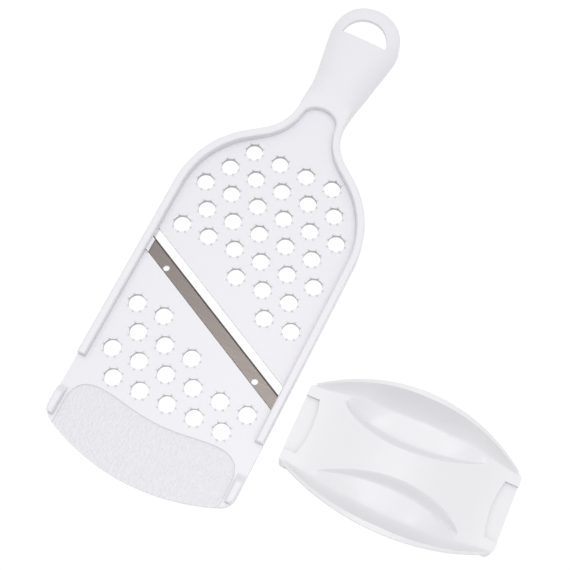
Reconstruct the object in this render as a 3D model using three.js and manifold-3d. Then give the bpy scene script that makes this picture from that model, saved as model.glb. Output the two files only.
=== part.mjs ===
// A flat hand-held vegetable grater with a diagonal slicing blade, and its loose food holder.
// Millimetres, +Z up. The grater lies on the table with its handle towards +Y and the food holder
// lies on the table at its right. The origin is on the table, under the middle of the whole.
import * as THREE from "three";
import { mergeVertices } from "three/addons/utils/BufferGeometryUtils.js";
import Module from "manifold-3d";

const wasm = await Module();
wasm.setup();

// ---- Driving dimensions -------------------------------------------------------------------
// The grater is drawn in its own frame: X across, Y towards the handle, Z up from the top face of
// the upper plate, with y = 0 at the row of holes nearest the handle.
const HOLE_PITCH = 16; // equilateral grid of holes
const HOLE_RADIUS = 4.75;
const HOLE_SIDES = 16;
const TEETH = 8; // teeth round one hole
const TOOTH = { width: 1.7, length: 1.3, height: 1.3 };

const BOARD = {
  halfWidth: 54.6,
  rimWidth: 4.5,
  rimTop: 6,
  skirtBottom: -4.8, // underside of the edge that runs round the board
  plate: 2.8, // thickness of both plates
  step: 1.5, // how far the lower plate stands above the upper one: the thickness of a slice
  endY: -193.7,
  endRadius: 120,
  cornerRadius: 9,
};
const SHOULDER = { y: -36, radius: 56, angle: THREE.MathUtils.degToRad(52.4), straight: 9.7 };
const NECK = { radius: 28.2, halfWidth: 14.13, y: 40, rimTop: 4.4 };
const NOSE_Y = 39.6; // tip of the plate's tongue, inside the neck
const RIM_SLOPE_Y = -5; // the rim's top comes down from here to the neck

const RAIL_END_Y = -144.8; // the holder's claws get on the rails between here and the lugs
const LUG = { top: -163, ramp: 4.5, bottom: -179.5 };
const PANEL = { halfWidth: 48.7, top: -156.2, dip: 3.5, shoulder: 35, cornerY: -168.5, depth: 0.9 };

const BLADE = {
  angle: THREE.MathUtils.degToRad(25.9), // off the X axis, falling towards +X
  edgeY: -93.3, // the cutting edge at x = 0
  width: 7.7,
  thickness: 0.8,
  bevel: 1.1,
  edge: 0.08, // thickness left at the cutting edge
  reach: 1.5, // how far each end goes into a rim
  holeRadius: 1.8,
  holeSetback: 5.5, // from the cutting edge
  holeX: 35.4,
};
const SLOT_WIDTH = 5.1;
const SUPPORT_SETBACK = 1.6; // the plate under the blade stops this far behind its edge
const GAP = 0.3; // left between two pieces that touch
const END_CAP = { width: 1.9, height: 1.3 }; // the block over the blade's left end

const HANDLE = {
  endRadius: 20.8,
  endY: 92.3, // centre of the round end
  footY: [64, 92], // the stretch that lies on the table
  wall: 2.8,
  hollowFrom: 50,
  hang: { radius: 13.4, y: 90.4 }, // half-moon hanging hole, its straight side towards the board
};
const RIB_Y = [58, 68, 78];
const RIB = { thickness: 2, drop: 5 };

const HOLDER = {
  x: 123,
  y: -124.6,
  turn: THREE.MathUtils.degToRad(2.7),
  halfLength: 58.9,
  ear: 15.8, // height of its corners above the table
  skin: 2.3,
  lipRadius: 111.3,
  lipHalfWidth: 38.2,
  lipWidth: 2.8,
  lipRise: 15, // of the middle of each long edge above the corners
  crownRise: 6.6, // of the middle of the grip above the corners
  wellDepth: 6.4, // of the finger wells, where they are deepest
  wellHalfLength: 38.5,
  gripSlope: 0.85, // how far the grip's wall leans out for each millimetre that it drops
  cornerRadius: 2.6, // of the four upright corners
};
const TAB = { inner: 49.6, halfWidth: 15.4, sink: 2.2, thickness: 1.7, arcRadius: 55 };
const CLAW = { thickness: 3.7, hook: 2, hookHeight: 1.2, halfWidth: 21.9 };
const END_WALL_BOTTOM = 5;
const PIN = { radius: 1, sides: 8, tipZ: 5.5, point: 3, seat: 3.2, cover: 2.8, bossRadius: 2.6 };
const PIN_ROWS = [
  { v: 18, us: [-24, -8, 8, 24] },
  { v: 0, us: [-32, -16, 0, 16, 32] },
  { v: -18, us: [-24, -8, 8, 24] },
];

const TOP = 30; // above everything that a cutter has to clear
const DEPTH = -30; // below everything

// ---- Solids -------------------------------------------------------------------------------
function solidFrom(geometry) {
  const bare = geometry.index ? geometry.toNonIndexed() : geometry.clone();
  bare.deleteAttribute("normal");
  bare.deleteAttribute("uv");
  const merged = mergeVertices(bare, 1e-4);
  const mesh = new wasm.Mesh({
    numProp: 3,
    vertProperties: merged.attributes.position.array,
    triVerts: new Uint32Array(merged.index.array),
  });
  return new wasm.Manifold(mesh);
}

function geometryFrom(solid) {
  const mesh = solid.getMesh();
  const geometry = new THREE.BufferGeometry();
  geometry.setAttribute("position", new THREE.BufferAttribute(mesh.vertProperties, 3));
  geometry.setIndex(new THREE.BufferAttribute(mesh.triVerts, 1));
  const flat = geometry.toNonIndexed();
  flat.computeVertexNormals();
  return flat;
}

// An outline in X and Y, raised from z0 to z1.
function slab(points, z0, z1) {
  const shape = new THREE.Shape(points);
  const geometry = new THREE.ExtrudeGeometry(shape, { depth: z1 - z0, bevelEnabled: false });
  return solidFrom(geometry.translate(0, 0, z0));
}

function block(x0, x1, y0, y1, z0, z1) {
  const geometry = new THREE.BoxGeometry(x1 - x0, y1 - y0, z1 - z0);
  return solidFrom(geometry.translate((x0 + x1) / 2, (y0 + y1) / 2, (z0 + z1) / 2));
}

// An upright cylinder with the middle of one of its flat sides towards +X.
function drum(x, y, z0, z1, radius, sides) {
  const geometry = new THREE.CylinderGeometry(radius, radius, z1 - z0, sides);
  geometry.rotateX(Math.PI / 2).rotateZ(Math.PI / sides);
  return solidFrom(geometry.translate(x, y, (z0 + z1) / 2));
}

// A profile in Y and Z, drawn out along X.
function wedge(profile, x0, x1) {
  const shape = new THREE.Shape(profile.map(([y, z]) => new THREE.Vector2(y, z)));
  const geometry = new THREE.ExtrudeGeometry(shape, { depth: x1 - x0, bevelEnabled: false });
  const turn = new THREE.Matrix4().makeBasis(
    new THREE.Vector3(0, 1, 0),
    new THREE.Vector3(0, 0, 1),
    new THREE.Vector3(1, 0, 0),
  );
  return solidFrom(geometry.applyMatrix4(turn).translate(x0, 0, 0));
}

const joined = (solids) => solids.reduce((whole, next) => whole.add(next));
const cut = (solid, cutters) => cutters.reduce((rest, next) => rest.subtract(next), solid);

// A closed solid between two grids of points, top and bottom, that share their plan.
function sheet(top, bottom) {
  const rows = top.length;
  const columns = top[0].length;
  const points = [...top.flat(), ...bottom.flat()];
  const faces = [];
  const quad = (a, b, c, d) => faces.push(a, b, c, a, c, d);
  const at = (layer, row, column) => (layer * rows + row) * columns + column;
  for (let i = 0; i + 1 < rows; i++) {
    for (let j = 0; j + 1 < columns; j++) {
      quad(at(0, i, j), at(0, i + 1, j), at(0, i + 1, j + 1), at(0, i, j + 1));
      quad(at(1, i, j), at(1, i, j + 1), at(1, i + 1, j + 1), at(1, i + 1, j));
    }
  }
  for (let i = 0; i + 1 < rows; i++) {
    quad(at(0, i, 0), at(1, i, 0), at(1, i + 1, 0), at(0, i + 1, 0));
    const j = columns - 1;
    quad(at(0, i, j), at(0, i + 1, j), at(1, i + 1, j), at(1, i, j));
  }
  for (let j = 0; j + 1 < columns; j++) {
    quad(at(0, 0, j), at(0, 0, j + 1), at(1, 0, j + 1), at(1, 0, j));
    const i = rows - 1;
    quad(at(0, i, j), at(1, i, j), at(1, i, j + 1), at(0, i, j + 1));
  }
  const geometry = new THREE.BufferGeometry();
  geometry.setAttribute("position", new THREE.Float32BufferAttribute(points.flatMap((p) => p.toArray()), 3));
  geometry.setIndex(faces);
  return solidFrom(geometry);
}

const smooth = THREE.MathUtils.smoothstep;
const clamp = THREE.MathUtils.clamp;
const range = (count, from, to) =>
  Array.from({ length: count + 1 }, (_, i) => from + ((to - from) * i) / count);
const mirrored = (right) => [...right, ...right.map((p) => new THREE.Vector2(-p.x, p.y)).reverse()];

function arc(centreX, centreY, radius, from, to, steps) {
  return range(steps, from, to).map(
    (a) => new THREE.Vector2(centreX + radius * Math.cos(a), centreY + radius * Math.sin(a)),
  );
}

// ---- The board ----------------------------------------------------------------------------
// The right side from the first shoulder to the neck, inset from the board's edge.
function shoulderSide(inset) {
  const { y, radius, angle, straight } = SHOULDER;
  const centreX = BOARD.halfWidth - radius;
  const bulge = arc(centreX, y, radius - inset, 0, angle, 12);
  const along = new THREE.Vector2(-Math.sin(angle), Math.cos(angle)).multiplyScalar(straight);
  const last = new THREE.Vector2(centreX + radius * Math.cos(angle), y + radius * Math.sin(angle)).add(along);
  const hollowX = last.x + NECK.radius * Math.cos(angle);
  const hollowY = last.y + NECK.radius * Math.sin(angle);
  const stop = inset > 0 ? Math.PI + THREE.MathUtils.degToRad(7) : Math.PI;
  const hollow = arc(hollowX, hollowY, NECK.radius + inset, Math.PI + angle, stop, 8);
  return [...bulge, ...hollow];
}

function boardOutline() {
  const { halfWidth, endY, endRadius, cornerRadius } = BOARD;
  const centreY = endY + endRadius;
  const cornerX = halfWidth - cornerRadius;
  const cornerY = centreY - Math.sqrt((endRadius - cornerRadius) ** 2 - cornerX ** 2);
  const turn = Math.atan2(cornerY - centreY, cornerX);
  const end = arc(0, centreY, endRadius, -Math.PI / 2, turn, 8);
  const corner = arc(cornerX, cornerY, cornerRadius, turn, 0, 5);
  const neck = new THREE.Vector2(NECK.halfWidth, NECK.y);
  return mirrored([...end, ...corner.slice(1), ...shoulderSide(0), neck]);
}

// The food channel between the rims, open at the lower end, with the tongue's round nose.
function channelOutline(endY) {
  const wall = BOARD.halfWidth - BOARD.rimWidth;
  const side = shoulderSide(BOARD.rimWidth);
  const from = side.at(-1);
  const nose = new THREE.CubicBezierCurve(
    from,
    new THREE.Vector2(from.x - 0.6, from.y + 4.2),
    new THREE.Vector2(from.x / 2, NOSE_Y),
    new THREE.Vector2(0, NOSE_Y),
  );
  return mirrored([new THREE.Vector2(wall, endY), ...side, ...nose.getPoints(6).slice(1, -1)]);
}

// Y of the line that lies a distance s in front of the cutting edge, at x.
const bladeY = (x, s) => BLADE.edgeY - x * Math.tan(BLADE.angle) + s / Math.cos(BLADE.angle);

// The strip between two such lines.
function bladeStrip(s0, s1, halfLength, z0, z1) {
  const corner = (x, s) => new THREE.Vector2(x, bladeY(x, s));
  const [l, r] = [-halfLength, halfLength];
  return slab([corner(l, s0), corner(r, s0), corner(r, s1), corner(l, s1)], z0, z1);
}

// Everything on the handle's side of the line that lies a distance s in front of the cutting edge.
function handleSideOf(s, z0) {
  const beyond = BOARD.halfWidth + 5;
  const corners = [[-beyond, bladeY(-beyond, s)], [beyond, bladeY(beyond, s)], [beyond, 60], [-beyond, 60]];
  return slab(corners.map(([x, y]) => new THREE.Vector2(x, y)), z0, TOP);
}

function holeRows() {
  const row = (y, from, to) => range(Math.round(to - from), from, to).map((i) => [i * HOLE_PITCH, y]);
  const drop = (HOLE_PITCH * Math.sqrt(3)) / 2;
  const upper = [[-1.5, 1.5], [-2, 2], [-2.5, 2.5], [-2, 2], [-2.5, 2.5], [0, 2], [1.5, 2.5]];
  const lower = [[-2.5, -1.5], [-2, 0], [-2.5, 2.5], [-2, 2]];
  const lowerY = -106.5;
  return {
    upper: upper.flatMap(([from, to], j) => row(-j * drop, from, to)),
    lower: lower.flatMap(([from, to], j) => row(lowerY - j * drop, from, to)),
  };
}

// A crown of teeth: each is a three-sided spike whose upright face is in the wall of the hole.
function crown([x, y], z) {
  const spikes = [];
  const inner = HOLE_RADIUS * Math.cos(Math.PI / HOLE_SIDES) + 0.05;
  for (let i = 0; i < TEETH; i++) {
    const angle = (i * 2 * Math.PI) / TEETH;
    const place = (out, side, up) =>
      new THREE.Vector3(
        x + out * Math.cos(angle) - side * Math.sin(angle),
        y + out * Math.sin(angle) + side * Math.cos(angle),
        z + up,
      );
    const foot = -0.4;
    const left = place(inner, TOOTH.width / 2, foot);
    const right = place(inner, -TOOTH.width / 2, foot);
    const back = place(inner + TOOTH.length, 0, foot);
    const tip = place(inner + 0.1, 0, TOOTH.height);
    const corners = [left, back, right, right, back, tip, back, left, tip, left, right, tip];
    spikes.push(solidFrom(new THREE.BufferGeometry().setFromPoints(corners)));
  }
  return joined(spikes);
}

function panelOutline() {
  const { halfWidth, top, dip, shoulder, cornerY } = PANEL;
  const corner = new THREE.CubicBezierCurve(
    new THREE.Vector2(halfWidth, cornerY),
    new THREE.Vector2(halfWidth - 0.5, cornerY + 8.5),
    new THREE.Vector2(shoulder + 8, top),
    new THREE.Vector2(shoulder, top),
  );
  const wave = new THREE.CubicBezierCurve(
    new THREE.Vector2(shoulder, top),
    new THREE.Vector2(shoulder - 11, top),
    new THREE.Vector2(15, top - dip),
    new THREE.Vector2(0, top - dip),
  );
  const foot = new THREE.Vector2(halfWidth, BOARD.endY - 5);
  return mirrored([foot, ...corner.getPoints(8), ...wave.getPoints(6).slice(1, -1)]);
}

// ---- The handle ---------------------------------------------------------------------------
// The board lies on its lower end and on the handle's foot, which is 8.7 lower over 268.7.
const BOARD_TILT = Math.atan2(8.7, 268.7);
const tableZ = (y) => BOARD.skirtBottom - (y - BOARD.endY) * Math.tan(BOARD_TILT);

const spineZ = (y) => NECK.rimTop - 1.2 * smooth(y, 45, 75) - 3.4 * smooth(y, 68, 112);

function handleBottomZ(y) {
  const sunk = BOARD.skirtBottom + (tableZ(y) - BOARD.skirtBottom) * smooth(y, 34, HANDLE.footY[0]);
  return sunk + 4 * smooth(y, HANDLE.footY[1], HANDLE.endY + HANDLE.endRadius);
}

// The side of the handle in plan, from the neck to the round end.
function handleSide() {
  const lean = THREE.MathUtils.degToRad(8.8);
  const { endRadius, endY } = HANDLE;
  const join = new THREE.Vector2(endRadius * Math.cos(lean), endY - endRadius * Math.sin(lean));
  const back = new THREE.Vector2(Math.sin(lean), Math.cos(lean)).multiplyScalar(-20);
  return new THREE.CubicBezierCurve(
    new THREE.Vector2(NECK.halfWidth, NECK.y),
    new THREE.Vector2(NECK.halfWidth, NECK.y + 14),
    join.clone().add(back),
    join,
  );
}

// The handle as spokes from its edge to its spine, inset by a wall and lowered by it.
// Each spoke's section is a rounded arch: flat with low sides at the neck, full at the grip, and
// lower at its edge again round the end.
function handleSolid(inset, fromY, bottom) {
  const side = handleSide().getPoints(9).filter((p) => p.y > fromY + 0.5);
  const first = new THREE.Vector2(handleWidth(fromY), fromY);
  const flank = [first, ...side].map((p) => ({ edge: p, spine: new THREE.Vector2(0, p.y) }));
  const lean = Math.atan2(side.at(-1).y - HANDLE.endY, side.at(-1).x);
  const centre = new THREE.Vector2(0, side.at(-1).y);
  const round = arc(0, HANDLE.endY, HANDLE.endRadius, lean, Math.PI / 2, 8).slice(1);
  const cap = round.map((p) => ({ edge: p, spine: centre }));
  const right = [...flank, ...cap];
  const left = right.slice(0, -1).reverse().map(({ edge, spine }) => ({
    edge: new THREE.Vector2(-edge.x, edge.y),
    spine,
  }));
  const shares = [1, 0.98, 0.93, 0.84, 0.7, 0.5, 0.25, 0];
  const top = [];
  const under = [];
  for (const { edge, spine } of [...right, ...left]) {
    const reach = edge.distanceTo(spine);
    const share = (reach - inset) / reach;
    const spokeTop = [];
    const spokeUnder = [];
    for (const s of shares) {
      const p = spine.clone().lerp(edge, s * share);
      const grip = smooth(p.y, 42, 66);
      const spread = 16 * (1 - smooth(p.y, 38, 50)) + 3.6 - 1.1 * grip;
      const depth = spineZ(p.y) - handleBottomZ(p.y) - 2.7;
      const ended = 1 - 0.55 * smooth(p.y, 86, 110);
      const rise = (1.1 + depth * smooth(p.y, 38, 62)) * ended;
      const arch = (1 - s ** spread) ** (1 / (2 + 0.5 * grip));
      const z = spineZ(p.y) - inset - Math.max(rise - inset, 0.2) * (1 - arch);
      spokeTop.push(new THREE.Vector3(p.x, p.y, z));
      spokeUnder.push(new THREE.Vector3(p.x, p.y, bottom(p.y)));
    }
    top.push(spokeTop);
    under.push(spokeUnder);
  }
  return spokeSheet(top, under);
}

function handleWidth(y) {
  const points = handleSide().getPoints(60);
  const after = points.findIndex((p) => p.y >= y);
  if (after <= 0) return NECK.halfWidth;
  const [a, b] = [points[after - 1], points[after]];
  return a.x + ((b.x - a.x) * (y - a.y)) / (b.y - a.y);
}

// Closes spokes of points into a solid: the left spokes meet the right ones along the spine.
function spokeSheet(top, under) {
  const triangles = [];
  const triangle = (a, b, c) => {
    const flat = new THREE.Triangle(a, b, c).getArea() < 1e-7;
    if (!flat) triangles.push(a, b, c);
  };
  const quad = (a, b, c, d) => {
    triangle(a, b, c);
    triangle(a, c, d);
  };
  const last = top[0].length - 1;
  for (let i = 0; i + 1 < top.length; i++) {
    for (let j = 0; j < last; j++) {
      quad(top[i][j], top[i + 1][j], top[i + 1][j + 1], top[i][j + 1]);
      quad(under[i][j], under[i][j + 1], under[i + 1][j + 1], under[i + 1][j]);
    }
    quad(top[i][0], under[i][0], under[i + 1][0], top[i + 1][0]);
  }
  for (const [spoke, foot, turned] of [[top[0], under[0], false], [top.at(-1), under.at(-1), true]]) {
    for (let j = 0; j < last; j++) {
      const face = [spoke[j], spoke[j + 1], foot[j + 1], foot[j]];
      quad(...(turned ? face.reverse() : face));
    }
  }
  return solidFrom(new THREE.BufferGeometry().setFromPoints(triangles));
}

function handleShell() {
  const outer = handleSolid(0, NECK.y, handleBottomZ);
  const hollow = handleSolid(HANDLE.wall, HANDLE.hollowFrom, () => DEPTH);
  const ribs = RIB_Y.map((y) => {
    const low = handleBottomZ(y) + RIB.drop;
    const rib = block(-30, 30, y - RIB.thickness / 2, y + RIB.thickness / 2, low, TOP);
    return rib.intersect(outer);
  });
  const { radius, y } = HANDLE.hang;
  const halfMoon = slab(arc(0, y, radius, 0, Math.PI, 18), DEPTH, TOP);
  return joined([outer.subtract(hollow), ...ribs]).subtract(halfMoon);
}

// ---- The grater body ----------------------------------------------------------------------
function graterBody() {
  const { rimTop, skirtBottom, plate, step, halfWidth, rimWidth, endY, endRadius } = BOARD;
  const channelHalf = halfWidth - rimWidth;
  const beyond = halfWidth + 5;
  const farEnd = endY - 10;

  const board = slab(boardOutline(), skirtBottom, rimTop);
  const whole = board.add(handleShell());

  const channel = channelOutline(farEnd);
  const lowerChannel = slab(channel, step, TOP);
  const upperChannel = slab(channel, 0, TOP).intersect(handleSideOf(SLOT_WIDTH / 2, 0));

  // Underneath, both plates are set back behind the edge that runs round the board.
  const centreY = endY + endRadius;
  const innerEnd = slab(arc(0, centreY, endRadius - rimWidth, -Math.PI, 0, 48), DEPTH, TOP);
  const above = block(-beyond, beyond, centreY, 60, DEPTH, TOP);
  const underChannel = slab(channel, DEPTH, -plate).intersect(innerEnd.add(above));
  const underLower = slab(channel, DEPTH, step - plate)
    .intersect(innerEnd)
    .subtract(handleSideOf(0, DEPTH));

  const rimSlope = wedge(
    [[RIM_SLOPE_Y, rimTop], [NECK.y, NECK.rimTop], [NECK.y, TOP], [RIM_SLOPE_Y, TOP]],
    -beyond,
    beyond,
  );
  const railGap = block(-beyond, beyond, LUG.top, RAIL_END_Y, step, TOP);
  const lugRamp = wedge([[LUG.top, step], [LUG.top, TOP], [LUG.top - LUG.ramp, rimTop]], -beyond, beyond);
  const lowerEnd = block(-beyond, beyond, farEnd, LUG.bottom, step, TOP);
  const panel = slab(panelOutline(), step - PANEL.depth, TOP);

  const slot = bladeStrip(-SUPPORT_SETBACK, SLOT_WIDTH, channelHalf, DEPTH, TOP);
  const bladeBottom = step - BLADE.thickness;
  const seat = bladeStrip(-BLADE.width - GAP, 0, channelHalf, bladeBottom - GAP, TOP);
  const ends = bladeStrip(
    -BLADE.width - GAP,
    GAP,
    channelHalf + BLADE.reach + GAP,
    bladeBottom - GAP,
    step + GAP,
  );

  const rows = holeRows();
  const holeAt = ([x, y]) => drum(x, y, DEPTH, TOP, HOLE_RADIUS, HOLE_SIDES);
  const holes = [...rows.upper, ...rows.lower].map(holeAt);
  const pegHoles = bladeHolePlaces().map(([x, y]) => drum(x, y, DEPTH, TOP, BLADE.holeRadius, 12));
  const crowns = [...rows.upper.map((at) => crown(at, 0)), ...rows.lower.map((at) => crown(at, step))];
  const capFoot = step + GAP;
  const capEdge = block(-channelHalf - 0.5, END_CAP.width - channelHalf, farEnd, 60, 0, TOP);
  const endCap = bladeStrip(-BLADE.width - GAP, -1, channelHalf + 0.5, capFoot, capFoot + END_CAP.height)
    .intersect(capEdge);

  const channels = [lowerChannel, upperChannel, underChannel, underLower];
  const rims = [rimSlope, railGap, lugRamp, lowerEnd];
  const shaped = cut(whole, [...channels, ...rims, panel, slot, seat, ends, ...holes, ...pegHoles]);
  return joined([shaped, endCap, ...crowns]);
}

// ---- The slicing blade --------------------------------------------------------------------
function bladeHolePlaces() {
  return [-BLADE.holeX, BLADE.holeX].map((x) => [x, bladeY(x, -BLADE.holeSetback)]);
}

function slicingBlade() {
  const { width, thickness, bevel, edge, reach } = BLADE;
  const top = BOARD.step;
  const bottom = top - thickness;
  const halfLength = BOARD.halfWidth - BOARD.rimWidth + reach;
  const profile = [[-width, bottom], [0, bottom], [0, bottom + edge], [-bevel, top], [-width, top]];
  const ring = (x) => profile.map(([s, z]) => new THREE.Vector3(x, bladeY(x, s), z));
  const [left, right] = [ring(-halfLength), ring(halfLength)];
  const faces = [];
  profile.forEach((_, i) => {
    const next = (i + 1) % profile.length;
    faces.push(left[i], left[next], right[next], left[i], right[next], right[i]);
  });
  for (let i = 1; i + 1 < profile.length; i++) {
    faces.push(left[0], left[i + 1], left[i], right[0], right[i], right[i + 1]);
  }
  const bar = solidFrom(new THREE.BufferGeometry().setFromPoints(faces));
  const pegs = bladeHolePlaces().map(([x, y]) => drum(x, y, DEPTH, TOP, BLADE.holeRadius, 20));
  return cut(bar, pegs);
}

// ---- The food holder ----------------------------------------------------------------------
// Drawn with u along its length, v across it, and z up from the table.
const lipV = (u) =>
  HOLDER.lipHalfWidth - HOLDER.lipRadius + Math.sqrt(HOLDER.lipRadius ** 2 - Math.min(Math.abs(u), 57) ** 2);
const crownZ = (u) => HOLDER.ear + HOLDER.crownRise * Math.max(0, 1 - (u / 52) ** 2) ** 2;
const lipZ = (u) => HOLDER.ear + HOLDER.lipRise * Math.max(0, 1 - (u / 57) ** 2);

// How far the finger well of one side is sunk: it ends bluntly one way and fades out the other.
function wellDrop(u, side) {
  const along = clamp(0.5 - (u * side) / (2 * HOLDER.wellHalfLength), 0, 1);
  return 1.65 * HOLDER.wellDepth * along ** 0.7 * (1 - along ** 3) ** 0.6;
}

// Where the surface turns, across one side of the holder: the grip's edge, the foot of the grip's
// wall, the foot of the outer slope, and the inner and outer edges of the lip.
function turnsAt(u, side) {
  const far = Math.min(Math.abs(u), 42) / 30;
  const outer = lipV(u);
  const slopeFoot = Math.min(25.6 - 2.6 * (u / 40) ** 2, outer - 2);
  const gripFoot = Math.min(13.2 + 4 * far ** 2, slopeFoot - 1);
  const gripEdge = gripFoot - 0.6 - HOLDER.gripSlope * wellDrop(u, side);
  const lipInner = outer - HOLDER.lipWidth * (1 - 0.6 * Math.min(1, Math.abs(u) / 57));
  return [gripEdge, gripFoot, slopeFoot, lipInner, outer];
}

// The well's floor is level in the middle and comes up to the outer slope near both its ends.
function holderTop(u, v) {
  const side = Math.sign(v);
  const [gripEdge, gripFoot, slopeFoot, lipInner] = turnsAt(u, side);
  const across = Math.abs(v);
  const wall = smooth(across, gripEdge, gripFoot) ** 0.8;
  const outwards = clamp((across - gripFoot) / (slopeFoot - gripFoot), 0, 1);
  const { wellHalfLength } = HOLDER;
  const level = 1 - outwards * smooth(Math.abs(u), 0.3 * wellHalfLength, 0.9 * wellHalfLength);
  const floor = crownZ(u) - wellDrop(u, side) * wall * level;
  const climb = clamp((across - slopeFoot) / (lipInner - slopeFoot), 0, 1);
  return floor + (lipZ(u) - floor) * climb ** 1.5;
}

// The underside keeps one skin thickness, measured square to the surface.
function holderUnder(u, v) {
  const h = 0.5;
  const slopeU = (holderTop(u + h, v) - holderTop(u - h, v)) / (2 * h);
  const slopeV = (holderTop(u, v + h) - holderTop(u, v - h)) / (2 * h);
  return holderTop(u, v) - HOLDER.skin * Math.min(1.5, Math.hypot(1, slopeU, slopeV));
}

function holderSkin() {
  const halfRow = (u, side) => {
    const [gripEdge, gripFoot, slopeFoot, lipInner, outer] = turnsAt(u, side);
    const middle = (a, b) => (a + b) / 2;
    const climb = [0.35, 0.65, 0.85].map((s) => slopeFoot + s * (lipInner - slopeFoot));
    return [gripEdge, middle(gripEdge, gripFoot), gripFoot, slopeFoot, ...climb, lipInner, outer];
  };
  const stations = range(28, -HOLDER.halfLength, HOLDER.halfLength);
  const grid = (height) =>
    stations.map((u) => {
      const across = [...halfRow(u, -1).map((v) => -v).reverse(), 0, ...halfRow(u, 1)];
      return across.map((v) => new THREE.Vector3(u, v, height(u, v)));
    });
  return sheet(grid(holderTop), grid(holderUnder));
}

// One end of the holder: the sunk tab that slides on a rail, its end wall and two claws.
function holderEnd(side) {
  const { ear, halfLength } = HOLDER;
  const along = (u0, u1) => (side > 0 ? [u0, u1] : [-u1, -u0]);
  const wallFrom = halfLength - CLAW.thickness;
  const floorZ = ear - TAB.sink;
  const tabFrom = TAB.inner - 2;
  const solids = [
    block(...along(tabFrom, halfLength), -CLAW.halfWidth, CLAW.halfWidth, floorZ - TAB.thickness, floorZ),
    block(...along(wallFrom, halfLength), -CLAW.halfWidth, CLAW.halfWidth, END_WALL_BOTTOM, floorZ),
  ];
  for (const v of [-1, 1]) {
    const [v0, v1] = v > 0 ? [TAB.halfWidth, CLAW.halfWidth] : [-CLAW.halfWidth, -TAB.halfWidth];
    solids.push(block(...along(wallFrom, halfLength), v0, v1, 0, ear));
    solids.push(block(...along(wallFrom - CLAW.hook, halfLength), v0, v1, 0, CLAW.hookHeight));
  }
  return joined(solids);
}

// What is cut away above one tab: straight sides, and an inner edge that bulges to the middle.
function tabCutter(side) {
  const reach = Math.asin(TAB.halfWidth / TAB.arcRadius);
  const inner = arc(TAB.inner + TAB.arcRadius, 0, TAB.arcRadius, Math.PI - reach, Math.PI + reach, 10);
  const outer = HOLDER.halfLength + 5;
  const ends = [-TAB.halfWidth, TAB.halfWidth].map((v) => new THREE.Vector2(outer, v));
  const outline = [...inner, ...ends];
  const turned = side > 0 ? outline : outline.map((p) => new THREE.Vector2(-p.x, -p.y));
  return slab(turned, HOLDER.ear - TAB.sink, TOP);
}

const pinPlaces = () => PIN_ROWS.flatMap(({ v, us }) => us.map((u) => [u, v]));

// The lowest point of the holder's top over one pin's boss.
function lowestTop(u, v) {
  const ring = arc(u, v, PIN.bossRadius, 0, 2 * Math.PI, PIN.sides).map((p) => holderTop(p.x, p.y));
  return Math.min(holderTop(u, v), ...ring);
}

const pinTopZ = (u, v) => lowestTop(u, v) - PIN.cover;

// What rounds the four upright corners of the ears and claws.
function cornerCutters() {
  const { halfLength, cornerRadius: r } = HOLDER;
  const round = arc(halfLength - r, CLAW.halfWidth - r, r, Math.PI / 2, 0, 5);
  const outside = [
    new THREE.Vector2(halfLength + 1, CLAW.halfWidth - r),
    new THREE.Vector2(halfLength + 1, CLAW.halfWidth + 4),
    new THREE.Vector2(halfLength - r, CLAW.halfWidth + 4),
  ];
  const corners = [[1, 1], [1, -1], [-1, 1], [-1, -1]];
  return corners.map(([sideU, sideV]) =>
    slab([...round, ...outside].map((p) => new THREE.Vector2(p.x * sideU, p.y * sideV)), -1, TOP),
  );
}

function foodHolder() {
  const bosses = pinPlaces().map(([u, v]) => {
    const top = lowestTop(u, v);
    return drum(u, v, pinTopZ(u, v) - PIN.seat, top - HOLDER.skin / 2, PIN.bossRadius, PIN.sides);
  });
  const bores = pinPlaces().map(([u, v]) => drum(u, v, 0, pinTopZ(u, v) + GAP, PIN.radius + GAP, PIN.sides));
  const whole = joined([holderSkin(), holderEnd(-1), holderEnd(1), ...bosses]);
  return cut(whole, [tabCutter(-1), tabCutter(1), ...cornerCutters(), ...bores]);
}

function foodPin(u, v) {
  const top = pinTopZ(u, v);
  const profile = [
    [0, PIN.tipZ],
    [PIN.radius * 0.98, PIN.tipZ + PIN.point],
    [PIN.radius * 0.98, top],
    [0, top],
  ].map(([x, y]) => new THREE.Vector2(x, y));
  const geometry = new THREE.LatheGeometry(profile, PIN.sides);
  return solidFrom(geometry.rotateX(Math.PI / 2).translate(u, v, 0));
}

// ---- Materials ----------------------------------------------------------------------------
const whitePlastic = new THREE.MeshStandardMaterial({ color: 0xeeedf2, roughness: 0.38, metalness: 0 });
const holderPlastic = new THREE.MeshStandardMaterial({ color: 0xf0eef1, roughness: 0.35, metalness: 0 });
const bladeSteel = new THREE.MeshStandardMaterial({ color: 0xa39997, roughness: 0.32, metalness: 1 });
const pinSteel = new THREE.MeshStandardMaterial({ color: 0xb9b9bb, roughness: 0.25, metalness: 1 });

function piece(name, solid, material) {
  const mesh = new THREE.Mesh(geometryFrom(solid), material);
  mesh.name = name;
  return mesh;
}

// ---- Assembly -----------------------------------------------------------------------------
function grater() {
  const group = new THREE.Group();
  group.add(piece("grater_body", graterBody(), whitePlastic));
  group.add(piece("slicing_blade", slicingBlade(), bladeSteel));
  group.rotation.x = BOARD_TILT;
  group.position.z = -tableZ(0) * Math.cos(BOARD_TILT);
  return group;
}

function holder() {
  const group = new THREE.Group();
  group.add(piece("food_holder", foodHolder(), holderPlastic));
  pinPlaces().forEach(([u, v], i) => {
    group.add(piece(`food_pin_${String(i + 1).padStart(2, "0")}`, foodPin(u, v), pinSteel));
  });
  group.rotation.z = HOLDER.turn;
  group.position.set(HOLDER.x, HOLDER.y, 0);
  return group;
}

const part = new THREE.Group();
part.add(grater(), holder());
const box = new THREE.Box3().setFromObject(part, true);
const middle = box.getCenter(new THREE.Vector3());
part.position.set(-middle.x, -middle.y, -box.min.z);

export default part;
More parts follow.
